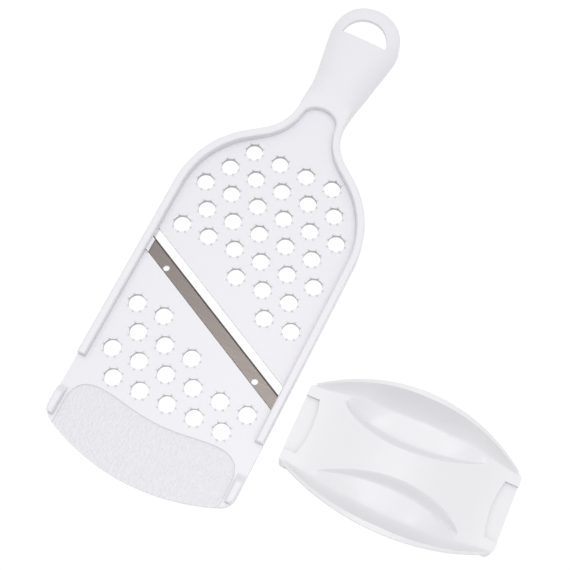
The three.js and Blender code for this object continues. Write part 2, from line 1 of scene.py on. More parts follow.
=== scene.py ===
"""Looks for the flat grater and its loose food holder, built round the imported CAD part.

Shapes are drawn in millimetres in the same local frames as the part: the board's own frame (X across,
Y towards the handle, Z up from the top of the upper plate) and the holder's (u along, v across, z up
from the table). They are then placed in the row frame from the CAD boxes.
"""

import math

import bpy
import numpy as np
from mathutils import Matrix, Quaternion, Vector


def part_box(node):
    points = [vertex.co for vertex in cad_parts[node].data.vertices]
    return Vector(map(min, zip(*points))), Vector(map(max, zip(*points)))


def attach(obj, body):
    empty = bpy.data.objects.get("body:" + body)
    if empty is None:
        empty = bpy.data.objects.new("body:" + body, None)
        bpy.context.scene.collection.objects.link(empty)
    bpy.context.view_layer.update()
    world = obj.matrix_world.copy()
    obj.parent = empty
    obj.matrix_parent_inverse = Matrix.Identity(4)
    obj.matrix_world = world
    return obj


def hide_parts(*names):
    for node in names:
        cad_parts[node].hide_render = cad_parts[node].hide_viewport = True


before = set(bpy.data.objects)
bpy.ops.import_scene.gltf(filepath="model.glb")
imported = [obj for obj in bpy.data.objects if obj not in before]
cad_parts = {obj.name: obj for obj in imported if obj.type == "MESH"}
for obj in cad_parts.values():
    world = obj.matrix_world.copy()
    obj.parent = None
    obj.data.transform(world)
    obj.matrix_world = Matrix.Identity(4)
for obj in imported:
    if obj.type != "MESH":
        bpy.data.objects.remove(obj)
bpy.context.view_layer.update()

MM = 0.001
# The heights that most cutters run between.
TOP = 30.0
DEPTH = -30.0

# ---- Driving dimensions, millimetres ------------------------------------------------------
HALF_WIDTH = 54.6
RIM_WIDTH = 4.5
RIM_TOP = 6.0
NECK_TOP = 4.4
SKIRT_BOTTOM = -4.8
PLATE = 2.8
STEP = 1.5
END_Y = -193.7
END_RADIUS = 120.0
CORNER_RADIUS = 9.0
SHOULDER_Y = -36.0
SHOULDER_RADIUS = 56.0
SHOULDER_ANGLE = math.radians(52.4)
SHOULDER_STRAIGHT = 9.7
NECK_RADIUS = 28.2
NECK_HALF = 14.13
NECK_Y = 40.0
NOSE_Y = 39.6

PITCH = 16.0
HOLE_RADIUS = 4.75
HOLE_SIDES = 48
LOWER_ROW_Y = -106.5
TEETH = 8
TOOTH_HEIGHT = 1.3
TOOTH_REACH = 1.3
TOOTH_HALF = 0.42
CROWN_OVERHANG = 0.25
CROWN_SPARE = 0.6
CROWN_SINK = 0.12
CROWN_DEPTH = 0.6

RAIL_END_Y = -144.8
LUG_TOP_Y = -163.0
LUG_RAMP = 4.5
LUG_BOTTOM_Y = -179.5

PANEL_HALF = 48.7
PANEL_TOP_Y = -156.2
PANEL_DIP = 3.5
PANEL_SHOULDER = 35.0
PANEL_CORNER_Y = -168.5
PANEL_DEPTH = 0.9

BLADE_ANGLE = math.radians(25.9)
BLADE_EDGE_Y = -93.3
BLADE_WIDTH = 7.7
BLADE_THICKNESS = 0.8
BLADE_REACH = 1.5
BLADE_HOLE_RADIUS = 1.8
BLADE_HOLE_SETBACK = 5.5
BLADE_HOLE_X = 35.4
SLOT_WIDTH = 5.1
SUPPORT_SETBACK = 1.6
GAP = 0.3
END_CAP_WIDTH = 1.9
END_CAP_HEIGHT = 1.3

HANDLE_RADIUS = 20.8
HANDLE_END_Y = 92.3
HANDLE_LEAN = math.radians(8.8)
HANDLE_FOOT = (64.0, 92.0)
HANDLE_WALL = 2.8
HANDLE_FOOT_ROUND = 0.7
HANDLE_FOOT_LIFT = 0.02
NECK_SPREAD = 16
GRIP_SPREAD = 3.6
NECK_ROLL = 1.1
GRIP_SIDE = 2.7
LEAST_RISE = 0.2
END_FLATTENING = 0.55
HOLLOW_FROM_Y = 50.0
HANG_RADIUS = 13.4
HANG_Y = 90.4
RIB_YS = (58.0, 68.0, 78.0)
RIB_THICKNESS = 2.0
RIB_DROP = 5.0

HOLDER_TURN = math.radians(2.7)
HOLDER_HALF = 58.9
EAR = 15.8
SKIN = 2.3
LIP_RADIUS = 111.3
LIP_HALF = 38.2
LIP_WIDTH = 2.8
LIP_RISE = 15.0
CROWN_RISE = 6.6
WELL_DEPTH = 6.4
WELL_HALF = 38.5
GRIP_SLOPE = 0.85
TAB_INNER = 49.6
TAB_HALF = 15.4
TAB_SINK = 2.2
TAB_THICKNESS = 1.7
TAB_ARC = 55.0
CLAW_THICKNESS = 3.7
CLAW_HOOK = 2.0
CLAW_HOOK_HEIGHT = 1.2
EAR_HALF = 21.9
CORNER_ROUND = 2.6
END_WALL_BOTTOM = 5.0
PIN_RADIUS = 1.0
PIN_SEAT = 3.2
PIN_BOSS_RADIUS = 2.6
PIN_COVER = 2.8
PIN_ROWS = ((18.0, (-24, -8, 8, 24)), (0.0, (-32, -16, 0, 16, 32)), (-18.0, (-24, -8, 8, 24)))

BOARD_TILT = math.atan2(8.7, 268.7)


# ---- Small maths --------------------------------------------------------------------------
def smooth(x, low, high):
    t = np.clip((x - low) / (high - low), 0.0, 1.0)
    return t * t * (3 - 2 * t)


def arc(x, y, radius, start, stop, steps):
    a = np.linspace(start, stop, steps + 1)
    return np.column_stack([x + radius * np.cos(a), y + radius * np.sin(a)])


def bezier(p0, p1, p2, p3, steps):
    t = np.linspace(0, 1, steps + 1)[:, None]
    p0, p1, p2, p3 = map(np.array, (p0, p1, p2, p3))
    return (1 - t) ** 3 * p0 + 3 * (1 - t) ** 2 * t * p1 + 3 * (1 - t) * t * t * p2 + t**3 * p3


def mirrored(right):
    """A loop from its right half, which runs from the lowest point to the highest."""
    right = np.asarray(right, float)
    left = right[::-1] * [-1, 1]
    keep = np.abs(left[:, 0]) > 1e-9
    return np.vstack([right, left[keep]])


def spaced(loop, step):
    """The loop with its long straight stretches divided, so that it can bend up and down."""
    points = []
    for a, b in zip(loop, np.roll(loop, -1, axis=0)):
        count = max(1, int(np.linalg.norm(b - a) / step))
        points += [a + (b - a) * i / count for i in range(count)]
    return np.array(points)


def inset(loop, distance):
    """The anticlockwise loop moved inwards, corners mitred."""
    before = loop - np.roll(loop, 1, axis=0)
    after = np.roll(loop, -1, axis=0) - loop
    before /= np.linalg.norm(before, axis=1)[:, None]
    after /= np.linalg.norm(after, axis=1)[:, None]
    normal_a = np.column_stack([-before[:, 1], before[:, 0]])
    normal_b = np.column_stack([-after[:, 1], after[:, 0]])
    miter = normal_a + normal_b
    length = np.sum(miter * normal_a, axis=1)
    return loop + distance * miter / np.maximum(length, 0.35)[:, None]


# ---- Solids -------------------------------------------------------------------------------
def solid(name, points, faces):
    mesh = bpy.data.meshes.new(name)
    mesh.from_pydata([tuple(p) for p in points], [], faces)
    mesh.validate()
    made = bpy.data.objects.new(name, mesh)
    bpy.context.scene.collection.objects.link(made)
    return made


def stack(name, loops):
    """A solid through loops of 3-D points, lowest first, each running anticlockwise."""
    count = len(loops[0])
    points = np.vstack(loops)
    faces = []
    for k in range(len(loops) - 1):
        for i in range(count):
            j = (i + 1) % count
            faces.append((k * count + i, k * count + j, (k + 1) * count + j, (k + 1) * count + i))
    top = (len(loops) - 1) * count
    faces.append(tuple(range(count - 1, -1, -1)))
    faces.append(tuple(range(top, top + count)))
    return solid(name, points, faces)


def at(loop, z):
    """The plane loop at height z, which is a number or a function of y."""
    height = z(loop[:, 1]) if callable(z) else np.full(len(loop), z)
    return np.column_stack([loop, height])


def prism(name, loop, z0, z1):
    return stack(name, [at(loop, z0), at(loop, z1)])


def box_loop(x0, x1, y0, y1):
    return np.array([(x0, y0), (x1, y0), (x1, y1), (x0, y1)], float)


def along_x(name, profile, x0, x1):
    """An anticlockwise profile in Y and Z, drawn out along X."""
    made = prism(name, np.array(profile, float), x0, x1)
    turn = Matrix(((0, 0, 1, 0), (1, 0, 0, 0), (0, 1, 0, 0), (0, 0, 0, 1)))
    made.data.transform(turn)
    return made


def combine(target, others, operation):
    """Adds, cuts or intersects the target with the others, which are used up."""
    for tool in others:
        modifier = target.modifiers.new("boolean", "BOOLEAN")
        modifier.operation = operation
        modifier.solver = "MANIFOLD"
        modifier.object = tool
    graph = bpy.context.evaluated_depsgraph_get()
    mesh = bpy.data.meshes.new_from_object(target.evaluated_get(graph))
    target.modifiers.clear()
    target.data = mesh
    for tool in others:
        bpy.data.objects.remove(tool)
    return target


def gathered(name, objects):
    """One object that holds several solids that don't meet."""
    points, faces = [], []
    for made in objects:
        start = len(points)
        points += [tuple(v.co) for v in made.data.vertices]
        faces += [tuple(start + i for i in f.vertices) for f in made.data.polygons]
        bpy.data.objects.remove(made)
    return solid(name, points, faces)


# ---- The board ----------------------------------------------------------------------------
def rim_top(y):
    """The rims' top comes down to the neck."""
    return RIM_TOP - (RIM_TOP - NECK_TOP) * smooth(y, -12, 42)


def shoulder_side(depth):
    centre_x = HALF_WIDTH - SHOULDER_RADIUS
    bulge = arc(centre_x, SHOULDER_Y, SHOULDER_RADIUS - depth, 0, SHOULDER_ANGLE, 30)
    c, s = math.cos(SHOULDER_ANGLE), math.sin(SHOULDER_ANGLE)
    last_x = centre_x + SHOULDER_RADIUS * c - SHOULDER_STRAIGHT * s
    last_y = SHOULDER_Y + SHOULDER_RADIUS * s + SHOULDER_STRAIGHT * c
    hollow_x = last_x + NECK_RADIUS * c
    hollow_y = last_y + NECK_RADIUS * s
    stop = math.pi + (math.radians(7) if depth else 0)
    hollow = arc(hollow_x, hollow_y, NECK_RADIUS + depth, math.pi + SHOULDER_ANGLE, stop, 24)
    return np.vstack([bulge, hollow])


def board_loop():
    centre_y = END_Y + END_RADIUS
    corner_x = HALF_WIDTH - CORNER_RADIUS
    corner_y = centre_y - math.sqrt((END_RADIUS - CORNER_RADIUS) ** 2 - corner_x**2)
    turn = math.atan2(corner_y - centre_y, corner_x)
    end = arc(0, centre_y, END_RADIUS, -math.pi / 2, turn, 24)
    corner = arc(corner_x, corner_y, CORNER_RADIUS, turn, 0, 12)[1:]
    neck = [[NECK_HALF, NECK_Y]]
    return mirrored(np.vstack([end, corner, shoulder_side(0), neck]))


def channel_side():
    """The channel's right side, from its shoulder to the middle of its nose."""
    side = shoulder_side(RIM_WIDTH)
    x, y = side[-1]
    nose = bezier((x, y), (x - 0.6, y + 4.2), (x / 2, NOSE_Y), (0, NOSE_Y), 16)[1:]
    return np.vstack([side, nose])


def channel_loop(end_y):
    return mirrored(np.vstack([[[HALF_WIDTH - RIM_WIDTH, end_y]], channel_side()]))


def board_blank():
    loop = spaced(board_loop(), 6)
    round_edge = 1.1
    foot = 0.8
    loops = [
        at(inset(loop, foot), SKIRT_BOTTOM),
        at(inset(loop, foot * 0.3), SKIRT_BOTTOM + foot * 0.3),
        at(loop, SKIRT_BOTTOM + foot),
    ]
    for angle in np.linspace(0, math.pi / 2, 6):
        drop = round_edge * (1 - math.sin(angle))
        loops.append(at(inset(loop, round_edge * (1 - math.cos(angle))), lambda y, d=drop: rim_top(y) - d))
    return stack("board", loops)


def channel_cutter(name, floor):
    """Cuts the channel down to a plate, with a fillet at its foot and rounded upper edges."""
    loop = spaced(channel_loop(END_Y - 12), 6)
    fillet = 0.5
    edge = 1.4
    loops = []
    for angle in np.linspace(0, math.pi / 2, 5):
        loops.append(at(inset(loop, fillet * (1 - math.sin(angle))), floor + fillet * (1 - math.cos(angle))))
    for angle in np.linspace(0, math.pi / 2, 5):
        rise = edge * math.sin(angle)
        out = edge * (1 - math.cos(angle))
        loops.append(at(inset(loop, -out), lambda y, r=rise: rim_top(y) - edge + r))
    loops.append(at(inset(loop, -edge), TOP))
    return stack(name, loops)


def blade_y(x, setback):
    """Y of the line that lies this far in front of the cutting edge, at x."""
    return BLADE_EDGE_Y - x * math.tan(BLADE_ANGLE) + setback / math.cos(BLADE_ANGLE)


def strip_loop(s0, s1, half):
    corners = [(-half, s0), (half, s0), (half, s1), (-half, s1)]
    return np.array([(x, blade_y(x, s)) for x, s in corners])


def side_of_slot(handle_side, setback):
    """A tall prism over everything on one side of a line along the slot."""
    beyond = 80.0
    left, right = blade_y(-beyond, setback), blade_y(beyond, setback)
    if handle_side:
        loop = [(-beyond, left), (beyond, right), (beyond, 90.0), (-beyond, 90.0)]
    else:
        loop = [(-beyond, -240.0), (beyond, -240.0), (beyond, right), (-beyond, left)]
    return prism("side", np.array(loop), DEPTH - 1, TOP + 1)


def rail_cutter():
    """What is cut off the rims: the gap where the holder gets on, the lugs' ramps and their lower ends."""
    r = 0.9
    high = RIM_TOP + 4
    gap_end = [(RAIL_END_Y + r, high), (RAIL_END_Y + r, RIM_TOP)]
    gap_end += [
        (RAIL_END_Y + r * (1 - math.sin(a)), RIM_TOP - r * (1 - math.cos(a)))
        for a in np.linspace(0.3, math.pi / 2, 4)
    ]
    ramp = bezier(
        (LUG_TOP_Y, STEP),
        (LUG_TOP_Y - 1.8, STEP),
        (LUG_TOP_Y - LUG_RAMP + 1.2, RIM_TOP),
        (LUG_TOP_Y - LUG_RAMP - 1, RIM_TOP + 0.05),
        8,
    )
    gap = gap_end + [(RAIL_END_Y, STEP)] + [tuple(p) for p in ramp] + [(ramp[-1][0], high)]
    lower = [
        (LUG_BOTTOM_Y + r * (1 - math.sin(a)), RIM_TOP - r * (1 - math.cos(a)))
        for a in np.linspace(0, math.pi / 2, 5)
    ]
    tail = [(LUG_BOTTOM_Y + r, high)] + lower + [(LUG_BOTTOM_Y, STEP), (END_Y - 20, STEP), (END_Y - 20, high)]
    solids = []
    for name, profile in (("gap", gap[::-1]), ("tail", tail[::-1])):
        solids.append(along_x(name, profile, -HALF_WIDTH - 5, HALF_WIDTH + 5))
    return solids


def panel_loop():
    corner = bezier(
        (PANEL_HALF, PANEL_CORNER_Y),
        (PANEL_HALF - 0.5, PANEL_CORNER_Y + 8.5),
        (PANEL_SHOULDER + 8, PANEL_TOP_Y),
        (PANEL_SHOULDER, PANEL_TOP_Y),
        20,
    )
    wave = bezier(
        (PANEL_SHOULDER, PANEL_TOP_Y),
        (PANEL_SHOULDER - 11, PANEL_TOP_Y),
        (15, PANEL_TOP_Y - PANEL_DIP),
        (0, PANEL_TOP_Y - PANEL_DIP),
        20,
    )
    return mirrored(np.vstack([[[PANEL_HALF, END_Y - 8]], corner, wave[1:]]))


def panel_cutter():
    loop = spaced(panel_loop(), 6)
    steps = ((0.3, -PANEL_DEPTH), (0.1, -PANEL_DEPTH * 0.85), (-0.1, -0.12), (-0.35, 0.02))
    loops = [at(inset(loop, d), STEP + z) for d, z in steps]
    loops.append(at(inset(loop, -0.35), TOP))
    return stack("panel", loops)


def under_cutters():
    """What hollows the board from below: one pocket under each plate."""
    half = HALF_WIDTH - RIM_WIDTH
    radius = END_RADIUS - RIM_WIDTH
    end = arc(0, END_Y + END_RADIUS, radius, -math.pi / 2, -math.acos(half / radius), 24)
    loop = spaced(mirrored(np.vstack([end, channel_side()])), 6)
    cutters = []
    for handle_side, top in ((True, -PLATE), (False, STEP - PLATE)):
        fillet = 0.6
        loops = [at(loop, DEPTH), at(loop, top - fillet), at(inset(loop, fillet), top)]
        pocket = stack("under", loops)
        cutters.append(combine(pocket, [side_of_slot(handle_side, 0)], "INTERSECT"))
    return cutters


def hole_places():
    drop = PITCH * math.sqrt(3) / 2
    upper = ((-1.5, 1.5), (-2, 2), (-2.5, 2.5), (-2, 2), (-2.5, 2.5), (0, 2), (1.5, 2.5))
    lower = ((-2.5, -1.5), (-2, 0), (-2.5, 2.5), (-2, 2))
    places = []
    for rows, first_y, plate in ((upper, 0.0, 0.0), (lower, LOWER_ROW_Y, STEP)):
        for j, (start, stop) in enumerate(rows):
            for i in range(int(round(stop - start)) + 1):
                places.append(((start + i) * PITCH, first_y - j * drop, plate))
    return places


def drum(name, x, y, radius, z0, z1, sides):
    angle = 2 * math.pi * np.arange(sides) / sides
    loop = np.column_stack([x + radius * np.cos(angle), y + radius * np.sin(angle)])
    return prism(name, loop, z0, z1)


def hole_cutter(x, y):
    """A grating hole, straight through the board."""
    angle = 2 * math.pi * np.arange(HOLE_SIDES) / HOLE_SIDES
    circle = np.column_stack([np.cos(angle), np.sin(angle)])
    return prism("hole", circle * HOLE_RADIUS + [x, y], DEPTH, TOP)


def crown(x, y, plate):
    """The ring of teeth round a hole: soft-backed points, upright on the hole's side."""
    around = 96
    angle = 2 * math.pi * np.arange(around) / around
    phase = np.abs((angle * TEETH / (2 * math.pi) + 0.5) % 1.0 - 0.5) * 2
    reach = HOLE_RADIUS - CROWN_OVERHANG + (TOOTH_REACH + CROWN_SPARE) * np.linspace(0, 1, 7)
    loops = []
    for radius in reach:
        back = np.clip((radius - HOLE_RADIUS) / TOOTH_REACH, 0, 1)
        narrow = TOOTH_HALF * (1 - back) + 1e-6
        peak = np.clip(1 - phase / narrow, 0, 1) ** 0.85
        height = plate - CROWN_SINK + (TOOTH_HEIGHT + CROWN_SINK) * peak * (1 - back) ** 0.8
        loops.append(np.column_stack([x + radius * np.cos(angle), y + radius * np.sin(angle), height]))
    base = np.full(around, plate - CROWN_DEPTH)
    under = [np.column_stack([loop[:, :2], base]) for loop in (loops[-1], loops[0])]
    rings = loops + under
    points = np.vstack(rings)
    faces = []
    for k in range(len(rings)):
        n = (k + 1) % len(rings)
        for i in range(around):
            j = (i + 1) % around
            faces.append((k * around + i, n * around + i, n * around + j, k * around + j))
    return solid("crown", points, faces)


# ---- The handle ---------------------------------------------------------------------------
def table_z(y):
    return SKIRT_BOTTOM - (y - END_Y) * math.tan(BOARD_TILT)


def spine_z(y):
    return NECK_TOP - 1.2 * smooth(y, 45, 75) - 3.4 * smooth(y, 68, 112)


def handle_bottom(y):
    """The foot stops a hair above the CAD's, so that nothing reaches under the table."""
    sunk = SKIRT_BOTTOM + (table_z(y) - SKIRT_BOTTOM) * smooth(y, 34, HANDLE_FOOT[0])
    return sunk + HANDLE_FOOT_LIFT + 4 * smooth(y, HANDLE_FOOT[1], HANDLE_END_Y + HANDLE_RADIUS)


def handle_spokes(from_y, flank_steps, cap_steps):
    """Pairs of edge and spine points round the handle, from the right of the neck to the left."""
    c, s = math.cos(HANDLE_LEAN), math.sin(HANDLE_LEAN)
    join = np.array([HANDLE_RADIUS * c, HANDLE_END_Y - HANDLE_RADIUS * s])
    back = -20 * np.array([s, c])
    side = bezier((NECK_HALF, NECK_Y), (NECK_HALF, NECK_Y + 14), join + back, join, 200)
    ys = np.linspace(from_y, join[1], flank_steps + 1)
    xs = np.interp(ys, side[:, 1], side[:, 0], left=NECK_HALF)
    flank = [((x, y), (0, y)) for x, y in zip(xs, ys)]
    turn = arc(0, HANDLE_END_Y, HANDLE_RADIUS, -HANDLE_LEAN, math.pi / 2, cap_steps)[1:]
    cap = [((x, y), (0, join[1])) for x, y in turn]
    right = flank + cap
    left = [((-e[0], e[1]), s) for e, s in right[:-1][::-1]]
    return right + left


def handle_arch(y, share, depth):
    """Height of the handle's top at y, at a share of the way from its spine to its edge: boxy at the
    neck, rounder at the grip and flatter at the end."""
    grip = smooth(y, 42, 66)
    spread = NECK_SPREAD * (1 - smooth(y, 38, 50)) + GRIP_SPREAD - 1.1 * grip
    close = 2 + 0.5 * grip
    rise = NECK_ROLL + (spine_z(y) - handle_bottom(y) - GRIP_SIDE) * smooth(y, 38, 62)
    rise *= 1 - END_FLATTENING * smooth(y, 86, 110)
    arch = (1 - share**spread) ** (1 / close)
    return spine_z(y) - depth - max(rise - depth, LEAST_RISE) * (1 - arch)


def handle_wall(x, y, z, low, inward, foot):
    """The wall from the arch's edge down to the foot, which turns inwards if it has a rounding."""
    wall = [(x, y, z + (low + foot - z) * t) for t in (0.5, 1.0)]
    if not foot:
        return wall
    middle = (x + inward[0] * foot * 0.3, y + inward[1] * foot * 0.3, low + foot * 0.3)
    return wall + [middle, (x + inward[0] * foot, y + inward[1] * foot, low)]


def handle_solid(name, depth, from_y, bottom):
    """The handle, inset by a wall of the given depth: an arch over each spoke."""
    shares = np.sin(np.linspace(0, 1, 19) * math.pi / 2)
    foot = HANDLE_FOOT_ROUND if depth == 0 else 0.0
    top_rows, under_rows = [], []
    for edge, spine in handle_spokes(from_y, 44, 30):
        edge, spine = np.array(edge, float), np.array(spine, float)
        reach = np.linalg.norm(edge - spine)
        share = (reach - depth) / reach
        row = []
        for s in shares:
            p = spine + (edge - spine) * s * share
            row.append((p[0], p[1], handle_arch(p[1], s, depth)))
        x, y, z = row[-1]
        inward = (spine - edge) / reach
        top_rows.append(row + handle_wall(x, y, z, bottom(y), inward, foot))
        inside = [p for p in row[::-1] if np.hypot(p[0] - x, p[1] - y) > 1.0]
        under_rows.append([(p[0], p[1], bottom(p[1])) for p in inside])
    return closed_spokes(name, top_rows, under_rows)


def closed_spokes(name, top_rows, under_rows):
    """Rows that each run from the spine over the edge and back to the spine underneath."""
    points, index, faces = [], {}, []

    def key(p):
        rounded = tuple(round(float(c), 5) for c in p)
        if rounded not in index:
            index[rounded] = len(points)
            points.append(rounded)
        return index[rounded]

    rows = []
    count = min(len(r) for r in under_rows)
    for top, under in zip(top_rows, under_rows):
        rows.append([key(p) for p in top + under[-count:]])
    for a, b in zip(rows, rows[1:]):
        for i in range(len(a) - 1):
            face = []
            for v in (a[i], a[i + 1], b[i + 1], b[i]):
                if v not in face:
                    face.append(v)
            if len(face) > 2:
                faces.append(tuple(face))
    first, last = rows[0], rows[-1]
    end = [v for i, v in enumerate(first) if v not in first[:i]]
    other = [v for i, v in enumerate(last) if v not in last[:i] and v not in end]
    faces.append(tuple(end[::-1] + other) if other else tuple(end[::-1]))
    return solid(name, points, faces)


def handle_shell():
    outer = handle_solid("handle", 0.0, NECK_Y - 2.0, handle_bottom)
    inner = handle_solid("hollow", HANDLE_WALL, HOLLOW_FROM_Y, lambda y: DEPTH)
    combine(outer, [inner], "DIFFERENCE")
    for y in RIB_YS:
        shape = handle_solid("within", HANDLE_WALL / 2, NECK_Y, handle_bottom)
        low = handle_bottom(y) + RIB_DROP
        rib = prism("rib", box_loop(-30, 30, y - RIB_THICKNESS / 2, y + RIB_THICKNESS / 2), low, TOP)
        combine(rib, [shape], "INTERSECT")
        combine(outer, [rib], "UNION")
    half_moon = spaced(arc(0, HANG_Y, HANG_RADIUS, 0, math.pi, 40), 3)
    edge = 0.7
    loops = [at(half_moon, DEPTH), at(half_moon, lambda y: spine_z(y) - 1.6)]
    loops += [
        at(inset(half_moon, -0.25), lambda y: spine_z(y) - 0.55),
        at(inset(half_moon, -edge), lambda y: spine_z(y) + 0.1),
        at(inset(half_moon, -edge), TOP),
    ]
    return combine(outer, [stack("hanging hole", loops)], "DIFFERENCE")


# ---- The whole grater body ----------------------------------------------------------------
def grater_body():
    half = HALF_WIDTH - RIM_WIDTH
    body = board_blank()
    combine(body, [handle_shell()], "UNION")
    upper = combine(channel_cutter("upper", 0.0), [side_of_slot(True, SLOT_WIDTH / 2)], "INTERSECT")
    cutters = [upper, channel_cutter("lower", STEP), *under_cutters(), *rail_cutter(), panel_cutter()]
    combine(body, cutters, "DIFFERENCE")
    combine(body, [gathered("crowns", [crown(*p) for p in hole_places()])], "UNION")

    bottom = STEP - BLADE_THICKNESS - GAP
    slot = prism("slot", strip_loop(-SUPPORT_SETBACK, SLOT_WIDTH, half), DEPTH, TOP)
    seat = prism("seat", strip_loop(-BLADE_WIDTH - GAP, 0, half), bottom, TOP)
    ends = prism("ends", strip_loop(-BLADE_WIDTH - GAP, GAP, half + BLADE_REACH + GAP), bottom, STEP + GAP)
    combine(body, [slot, seat, ends], "DIFFERENCE")
    holes = [hole_cutter(x, y) for x, y, _ in hole_places()]
    for side in (-1, 1):
        x = side * BLADE_HOLE_X
        holes.append(drum("peg", x, blade_y(x, -BLADE_HOLE_SETBACK), BLADE_HOLE_RADIUS, DEPTH, TOP, 32))
    combine(body, [gathered("holes", holes)], "DIFFERENCE")

    over = STEP + GAP
    cap = prism("cap", strip_loop(-BLADE_WIDTH - GAP, -1.0, half + 0.5), over, over + END_CAP_HEIGHT)
    limit = prism("limit", box_loop(-half - 0.5, END_CAP_WIDTH - half, END_Y, 60), 0, TOP)
    combine(cap, [limit], "INTERSECT")
    combine(body, [cap], "UNION")
    return body


# ---- The food holder ----------------------------------------------------------------------
def lip_v(u):
    return LIP_HALF - LIP_RADIUS + np.sqrt(LIP_RADIUS**2 - np.minimum(np.abs(u), 57) ** 2)


def crown_z(u):
    return EAR + CROWN_RISE * np.maximum(0, 1 - (u / 52) ** 2) ** 2


def lip_z(u):
    return EAR + LIP_RISE * np.maximum(0, 1 - (u / 57) ** 2)


def well_drop(u, side):
    """How far the finger well of one side is sunk: it ends bluntly one way and fades out the other."""
    along = np.clip(0.5 - u * side / (2 * WELL_HALF), 0, 1)
    return 1.65 * WELL_DEPTH * along**0.7 * (1 - along**3) ** 0.6


def turns_at(u, side):
    """Across one side of the holder: the grip's edge, the foot of its wall, the foot of the outer
    slope, and the lip's inner and outer edges."""
    far = np.minimum(np.abs(u), 42) / 30
    outer = lip_v(u)
    slope_foot = np.minimum(25.6 - 2.6 * (u / 40) ** 2, outer - 2)
    grip_foot = np.minimum(13.2 + 4.0 * far**2, slope_foot - 1)
    grip_edge = grip_foot - 0.6 - GRIP_SLOPE * well_drop(u, side)
    lip_inner = outer - LIP_WIDTH * (1 - 0.6 * np.minimum(1, np.abs(u) / 57))
    return grip_edge, grip_foot, slope_foot, lip_inner, outer


def holder_top(u, v):
    """The well's floor is level in the middle and comes up to the outer slope near both its ends."""
    side = np.sign(v)
    grip_edge, grip_foot, slope_foot, lip_inner, _ = turns_at(u, side)
    across = np.abs(v)
    wall = smooth(across, grip_edge, grip_foot) ** 0.8
    outwards = np.clip((across - grip_foot) / (slope_foot - grip_foot), 0, 1)
    level = 1 - outwards * smooth(np.abs(u), 0.3 * WELL_HALF, 0.9 * WELL_HALF)
    floor = crown_z(u) - well_drop(u, side) * wall * level
    climb = np.clip((across - slope_foot) / (lip_inner - slope_foot), 0, 1)
    return floor + (lip_z(u) - floor) * climb**1.5


def holder_under(u, v):
    h = 0.5
    slope_u = (holder_top(u + h, v) - holder_top(u - h, v)) / (2 * h)
    slope_v = (holder_top(u, v + h) - holder_top(u, v - h)) / (2 * h)
    return holder_top(u, v) - SKIN * np.minimum(1.5, np.sqrt(1 + slope_u**2 + slope_v**2))


def across_half(u, side):
    marks = [0.0, *turns_at(u, side)]
    counts = (4, 9, 6, 14, 4)
    return np.concatenate([np.linspace(a, b, n + 1)[1:] for a, b, n in zip(marks, marks[1:], counts)])


def holder_skin():
    stations = np.linspace(-HOLDER_HALF, HOLDER_HALF, 119)
    top, under = [], []
    for u in stations:
        across = np.concatenate([-across_half(u, -1)[::-1], [0.0], across_half(u, 1)])
        top.append(np.column_stack([np.full(len(across), u), across, holder_top(u, across)]))
        under.append(np.column_stack([np.full(len(across), u), across, holder_under(u, across)]))
    rows, columns = len(top), len(top[0])
    points = np.vstack(top + under)
    faces = []

    def index(layer, i, j):
        return (layer * rows + i) * columns + j

    for i in range(rows - 1):
        for j in range(columns - 1):
            faces.append((index(0, i, j), index(0, i + 1, j), index(0, i + 1, j + 1), index(0, i, j + 1)))
            faces.append((index(1, i, j), index(1, i, j + 1), index(1, i + 1, j + 1), index(1, i + 1, j)))
    for i in range(rows - 1):
        last = columns - 1
        faces.append((index(0, i, 0), index(1, i, 0), index(1, i + 1, 0), index(0, i + 1, 0)))
        faces.append((index(0, i, last), index(0, i + 1, last), index(1, i + 1, last), index(1, i, last)))
    for j in range(columns - 1):
        last = rows - 1
        faces.append((index(0, 0, j), index(0, 0, j + 1), index(1, 0, j + 1), index(1, 0, j)))
        faces.append((index(0, last, j), index(1, last, j), index(1, last, j + 1), index(0, last, j + 1)))
    return solid("food_holder_looks", points, faces)


def rounded(made, width, segments, angle):
    """Rounds the edges sharper than the angle."""
    modifier = made.modifiers.new("round", "BEVEL")
    modifier.width = width
    modifier.segments = segments
    modifier.limit_method = "ANGLE"
    modifier.angle_limit = math.radians(angle)
    graph = bpy.context.evaluated_depsgraph_get()
    mesh = bpy.data.meshes.new_from_object(made.evaluated_get(graph))
    made.modifiers.clear()
    made.data = mesh
    return made


def holder_end(side):
    """One end of the holder: the tab, the wall under it and a hooked claw at either corner."""

    def block(name, u_from, v0, v1, z0, z1):
        u0, u1 = (u_from, HOLDER_HALF) if side > 0 else (-HOLDER_HALF, -u_from)
        return prism(name, box_loop(u0, u1, v0, v1), z0, z1)

    wall_from = HOLDER_HALF - CLAW_THICKNESS
    tab_floor = EAR - TAB_SINK
    tab = block("tab", TAB_INNER - 2, -EAR_HALF, EAR_HALF, tab_floor - TAB_THICKNESS, tab_floor)
    parts = [block("wall", wall_from, -EAR_HALF, EAR_HALF, END_WALL_BOTTOM, tab_floor)]
    for v0, v1 in ((-EAR_HALF, -TAB_HALF), (TAB_HALF, EAR_HALF)):
        parts.append(block("claw", wall_from, v0, v1, 0, EAR))
        parts.append(block("hook", wall_from - CLAW_HOOK, v0, v1, 0, CLAW_HOOK_HEIGHT))
    return combine(tab, parts, "UNION")


def tab_cutter(side):
    reach = math.asin(TAB_HALF / TAB_ARC)
    inner = arc(TAB_INNER + TAB_ARC, 0, TAB_ARC, math.pi + reach, math.pi - reach, 24)[::-1]
    outer = HOLDER_HALF + 5
    loop = np.vstack([inner, [[outer, -TAB_HALF], [outer, TAB_HALF]]])
    if side < 0:
        loop = -loop
    return prism("tab cutter", loop, EAR - TAB_SINK, TOP)


def pin_places():
    return [(float(u), v) for v, us in PIN_ROWS for u in us]


